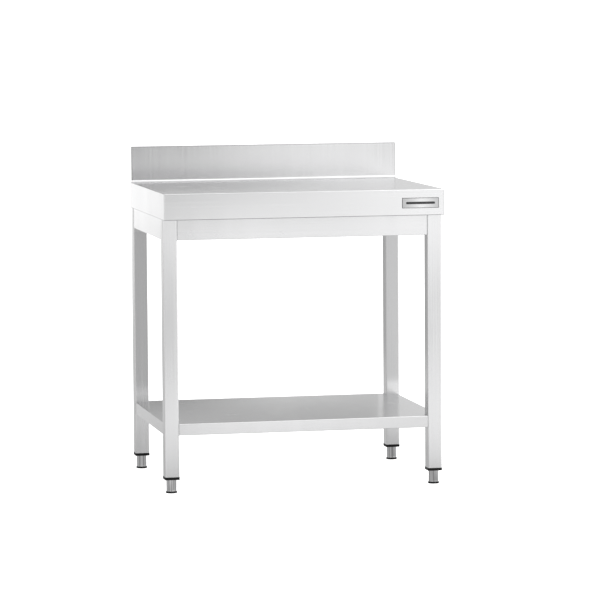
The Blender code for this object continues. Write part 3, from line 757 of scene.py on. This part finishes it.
def make_badge():
    lo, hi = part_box("badge_plate")
    cx, cz = (lo.x + hi.x) / 2, (lo.z + hi.z) / 2
    w, h = hi.x - lo.x, hi.z - lo.z
    bm = prism_bm(rounded_square(w / 2, h / 2, 0.0015, cx, cz, 6), "Y", lo.y, hi.y)
    badge = to_object("badge_blank", bm)
    rim = 0.0013
    steps = [("-", prism_bm(rounded_square(w / 2 - rim, h / 2 - rim, 0.0008, cx, cz, 5), "Y",
                            lo.y - 0.01, lo.y + 0.0003)),
             ("-", prism_bm(rounded_square(0.0420, 0.0034, 0.0032, cx, cz, 8), "Y", lo.y - 0.01, lo.y + 0.0006))]
    combine(badge, steps)
    polish(badge, soften=0.00010)
    finish_piece(badge, "badge_plate", badge_material())
    badge.data.materials.append(enamel_material())
    field = lo.y + 0.0003
    for p in badge.data.polygons:
        depths = [badge.data.vertices[v].co.y for v in p.vertices]
        border = min(depths) < field - 0.00012
        inlay = max(depths) > field + 0.00012 and max(depths) < hi.y - 0.0002
        if border or inlay:
            p.material_index = 1
    return badge


def enamel_material():
    mat, nt, bsdf = new_material("badge_enamel")
    fine = noise(nt, mapped(nt, (900.0, 900.0, 900.0)), detail=3.0)
    base = mix_colour(nt, ranged(nt, fine, 0.0, 1.0, 0.3, 0.7), (0.018, 0.018, 0.019), (0.030, 0.030, 0.031))
    nt.links.new(base, bsdf.inputs["Base Color"])
    nt.links.new(ranged(nt, fine, 0.28, 0.42, 0.3, 0.7), bsdf.inputs["Roughness"])
    bump = nt.nodes.new("ShaderNodeBump")
    bump.inputs["Strength"].default_value = 0.15
    bump.inputs["Distance"].default_value = 0.00005
    nt.links.new(fine, bump.inputs["Height"])
    nt.links.new(bump.outputs["Normal"], bsdf.inputs["Normal"])
    return mat


make_worktop()
for side_name in ("front", "rear", "left", "right"):
    make_rail(side_name)
for corner_name in CORNERS:
    make_leg(corner_name)
    make_foot(corner_name)
make_shelf()
make_badge()

# ---------------------------------------------------------------- CAD nodes that keep their shape
for name, obj in NODES.items():
    if obj.hide_render:
        continue
    if name == "underlay_board":
        obj.material_slots[0].material = BOARD
        width = 0.0003
    elif name == "shelf_stiffener":
        obj.material_slots[0].material = STEEL_X
        width = 0.0002
    else:
        obj.material_slots[0].material = ZINC
        width = 0.00012
    edge = obj.modifiers.new("edge", "BEVEL")
    edge.width = width
    edge.segments = 2
    edge.limit_method = "ANGLE"
    edge.angle_limit = math.radians(50)

# ---------------------------------------------------------------- stage, light, camera
scene = bpy.context.scene

# brightness of the studio round the table, one value every 45 degrees from +X towards +Y
ROOM_LOW = (0.87, 0.87, 0.95, 0.47, 0.62, 0.96, 0.57, 1.45)
ROOM_MID = (1.05, 1.45, 0.26, 0.45, 0.57, 0.98, 0.15, 0.59)
ROOM_HIGH = (1.30, 1.20, 1.10, 0.83, 0.93, 1.34, 1.91, 2.00)
ROOM_TOP = 1.00
FLOOR_FAR = (0.75, 0.53, 0.71, 0.55, 0.64, 1.30, 0.24, 1.20)
FLOOR_MID = (1.25, 0.54, 0.90, 0.57, 0.56, 1.30, 0.93, 1.23)
FLOOR_NEAR = 0.57
FRONT_X, FRONT_Z = (-0.9, -0.25, 0.05, 0.35, 0.7, 1.2), (0.4, 0.68, 0.86, 1.3)
FRONT_CARD = ((0.00, 0.57, 0.25, 0.00), (0.11, 0.69, 0.04, 0.00), (0.74, 0.90, 0.00, 0.00),
              (0.54, 0.57, 0.57, 0.00), (0.15, 0.98, 0.52, 0.85), (0.54, 0.19, 0.04, 0.69))
LEFT_X, LEFT_Z = (-1.1, -0.6), (0.2, 0.7)
LEFT_CARD = ((0.00, 0.00), (0.00, 0.63))
BACK_X, BACK_Z = (-0.25, 0.05, 0.30), (0.24, 0.34)
BACK_FLAG = ((0.40, 0.61), (0.69, 0.47), (0.65, 0.49))
INNER_X = (-0.3, 0.4)
INNER_FLAG = (0.54, 0.76)


def compass(nt, x, y, values):
    """A ring of eight values blended round the upright axis."""
    turn = maths(nt, "DIVIDE", maths(nt, "ARCTAN2", y, x), 2 * math.pi)
    turn = maths(nt, "FRACT", maths(nt, "ADD", turn, 1.0))
    ramp = nt.nodes.new("ShaderNodeValToRGB")
    ramp.color_ramp.interpolation = "LINEAR"
    stops = ramp.color_ramp.elements
    while len(stops) < 9:
        stops.new(0.5)
    for i in range(9):
        stops[i].position = i / 8
        v = values[i % 8] / 3.0
        stops[i].color = (v, v, v, 1.0)
    nt.links.new(turn, ramp.inputs[0])
    return maths(nt, "MULTIPLY", ramp.outputs[0], 3.0)


def blend(nt, fac, a, b):
    """a where fac is 0, b where it is 1."""
    return maths(nt, "ADD", maths(nt, "MULTIPLY", a, maths(nt, "SUBTRACT", 1.0, fac)), maths(nt, "MULTIPLY", b, fac))


def make_world():
    world = bpy.data.worlds.new("studio")
    scene.world = world
    world.use_nodes = True
    nt = world.node_tree
    nt.nodes.clear()
    out = nt.nodes.new("ShaderNodeOutputWorld")
    bg = nt.nodes.new("ShaderNodeBackground")
    bg.inputs["Color"].default_value = (1, 1, 1, 1)
    nt.links.new(bg.outputs[0], out.inputs[0])
    tc = nt.nodes.new("ShaderNodeTexCoord")
    sep = nt.nodes.new("ShaderNodeSeparateXYZ")
    nt.links.new(tc.outputs["Generated"], sep.inputs[0])
    x, y, z = sep.outputs
    height = maths(nt, "MULTIPLY", maths(nt, "ARCSINE", z), 180 / math.pi)
    low, mid, high = (compass(nt, x, y, v) for v in (ROOM_LOW, ROOM_MID, ROOM_HIGH))
    light = blend(nt, ranged(nt, height, 0.0, 1.0, 0.0, 20.0), low, mid)
    light = blend(nt, ranged(nt, height, 0.0, 1.0, 20.0, 42.0), light, high)
    light = blend(nt, ranged(nt, height, 0.0, 1.0, 55.0, 78.0), light, ROOM_TOP)
    path = nt.nodes.new("ShaderNodeLightPath")
    nt.links.new(blend(nt, path.outputs["Is Camera Ray"], light, 1.0), bg.inputs["Strength"])


def make_floor():
    """A plain pale disc, kept white for the eye and toned round the compass for what the metal mirrors."""
    bm = bmesh.new()
    rings, sides = [1.5, 4.0, 12.0, 60.0, 400.0], 64
    prev = [bm.verts.new((0, 0, 0))]
    for r in rings:
        cur = [bm.verts.new((r * math.cos(2 * math.pi * i / sides), r * math.sin(2 * math.pi * i / sides), 0))
               for i in range(sides)]
        for i in range(sides):
            j = (i + 1) % sides
            if len(prev) == 1:
                bm.faces.new((prev[0], cur[i], cur[j]))
            else:
                bm.faces.new((prev[i], cur[i], cur[j], prev[j]))
        prev = cur
    floor = to_object("studio_floor", bm)
    mat, nt, bsdf = new_material("floor_pale")
    bsdf.inputs["Base Color"].default_value = (0.60, 0.60, 0.60, 1.0)
    bsdf.inputs["Roughness"].default_value = 1.0
    bsdf.inputs["Specular IOR Level"].default_value = 0.0
    bsdf.inputs["Emission Color"].default_value = (1, 1, 1, 1)
    bsdf.inputs["Emission Strength"].default_value = FLOOR_GLOW
    tc = nt.nodes.new("ShaderNodeTexCoord")
    sep = nt.nodes.new("ShaderNodeSeparateXYZ")
    nt.links.new(tc.outputs["Object"], sep.inputs[0])
    x, y, _ = sep.outputs
    dist = maths(nt, "SQRT", maths(nt, "ADD", maths(nt, "MULTIPLY", x, x), maths(nt, "MULTIPLY", y, y)))
    tone = blend(nt, ranged(nt, dist, 0.0, 1.0, 0.5, 1.2), FLOOR_NEAR, compass(nt, x, y, FLOOR_MID))
    tone = blend(nt, ranged(nt, dist, 0.0, 1.0, 1.6, 4.5), tone, compass(nt, x, y, FLOOR_FAR))
    glow = nt.nodes.new("ShaderNodeEmission")
    nt.links.new(tone, glow.inputs["Strength"])
    path = nt.nodes.new("ShaderNodeLightPath")
    mix = nt.nodes.new("ShaderNodeMixShader")
    nt.links.new(path.outputs["Is Camera Ray"], mix.inputs[0])
    nt.links.new(glow.outputs[0], mix.inputs[1])
    nt.links.new(bsdf.outputs[0], mix.inputs[2])
    out = next(n for n in nt.nodes if n.type == "OUTPUT_MATERIAL")
    nt.links.new(mix.outputs[0], out.inputs["Surface"])
    floor.data.materials.append(mat)


FLOOR_GLOW = 0.93


def hats(value, stops):
    """Weights of a value on a row of stops, blended linearly and level past the ends."""
    return [float(np.interp(value, stops, [1.0 if k == i else 0.0 for k in range(len(stops))]))
            for i in range(len(stops))]


def reflector(name, corners, cells, level, adds):
    """A studio card that only the metal mirrors: it adds light, or it hides the room behind its front side."""
    nx, nz = cells
    bm = bmesh.new()
    p = [Vector(c) for c in corners]
    grid = [[bm.verts.new(p[0].lerp(p[1], i / nx).lerp(p[3].lerp(p[2], i / nx), j / nz)) for i in range(nx + 1)]
            for j in range(nz + 1)]
    for j in range(nz):
        for i in range(nx):
            bm.faces.new((grid[j][i], grid[j][i + 1], grid[j + 1][i + 1], grid[j + 1][i]))
    card = to_object(name, bm)
    tone = card.data.attributes.new("tone", "FLOAT", "POINT")
    for v, d in zip(card.data.vertices, tone.data):
        d.value = level(v.co)
    mat = bpy.data.materials.new(name)
    mat.use_nodes = True
    nt = mat.node_tree
    nt.nodes.clear()
    out = nt.nodes.new("ShaderNodeOutputMaterial")
    glow = nt.nodes.new("ShaderNodeEmission")
    attr = nt.nodes.new("ShaderNodeAttribute")
    attr.attribute_name = "tone"
    nt.links.new(attr.outputs["Fac"], glow.inputs["Strength"])
    clear = nt.nodes.new("ShaderNodeBsdfTransparent")
    if adds:
        join = nt.nodes.new("ShaderNodeAddShader")
        nt.links.new(glow.outputs[0], join.inputs[0])
        nt.links.new(clear.outputs[0], join.inputs[1])
    else:
        join = nt.nodes.new("ShaderNodeMixShader")
        geo = nt.nodes.new("ShaderNodeNewGeometry")
        nt.links.new(geo.outputs["Backfacing"], join.inputs[0])
        nt.links.new(glow.outputs[0], join.inputs[1])
        nt.links.new(clear.outputs[0], join.inputs[2])
    nt.links.new(join.outputs[0], out.inputs["Surface"])
    card.data.materials.append(mat)
    card.visible_camera = False
    card.visible_shadow = False
    if not adds:
        card.visible_diffuse = False
        card.visible_transmission = False
    return card


def surface(stops_x, stops_z, table):
    def level(co):
        wx, wz = hats(co.x, stops_x), hats(co.z, stops_z)
        return sum(wx[i] * wz[j] * table[i][j] for i in range(len(wx)) for j in range(len(wz)))
    return level


make_floor()
make_world()
reflector("card_front", ((-2.4, -1.6, 0.0), (2.4, -1.6, 0.0), (2.4, -1.6, 2.6), (-2.4, -1.6, 2.6)), (48, 40),
          surface(FRONT_X, FRONT_Z, FRONT_CARD), True)
reflector("card_left", ((-1.6, 1.3, 0.0), (-0.45, 1.3, 0.0), (-0.45, 1.3, 1.1), (-1.6, 1.3, 1.1)), (12, 11),
          surface(LEFT_X, LEFT_Z, LEFT_CARD), True)
reflector("flag_back", ((-0.34, 0.36, 0.03), (0.36, 0.36, 0.03), (0.36, 0.36, 0.70), (-0.34, 0.36, 0.70)), (14, 14),
          surface(BACK_X, BACK_Z, BACK_FLAG), False)
reflector("flag_inner", ((0.50, 0.06, 0.215), (-0.50, 0.06, 0.215), (-0.50, 0.06, 0.70), (0.50, 0.06, 0.70)), (14, 8),
          lambda co: sum(w * v for w, v in zip(hats(co.x, INNER_X), INNER_FLAG)), False)

# the lens and place that show the table as it is seen
FOCAL_PX, EYE = 3478.18441, Vector((-2.00013, -9.78427, 1.43186))
YAW, PITCH, ROLL = -0.2061, -0.09196, -0.00693
forward = Vector((-math.sin(YAW) * math.cos(PITCH), math.cos(YAW) * math.cos(PITCH), math.sin(PITCH)))
right = Vector((math.cos(YAW), math.sin(YAW), 0.0))
up = right.cross(forward)
r2 = right * math.cos(ROLL) + up * math.sin(ROLL)
u2 = up * math.cos(ROLL) - right * math.sin(ROLL)
cam_data = bpy.data.cameras.new("camera")
cam_data.sensor_width = 36.0
cam_data.lens = FOCAL_PX / 600.0 * 36.0
cam_data.clip_start, cam_data.clip_end = 0.1, 1000.0
cam = bpy.data.objects.new("camera", cam_data)
scene.collection.objects.link(cam)
cam.matrix_world = Matrix((
    (r2.x, u2.x, -forward.x, EYE.x),
    (r2.y, u2.y, -forward.y, EYE.y),
    (r2.z, u2.z, -forward.z, EYE.z),
    (0, 0, 0, 1)))
scene.camera = cam
scene.view_settings.view_transform = "Standard"
scene.view_settings.look = "None"
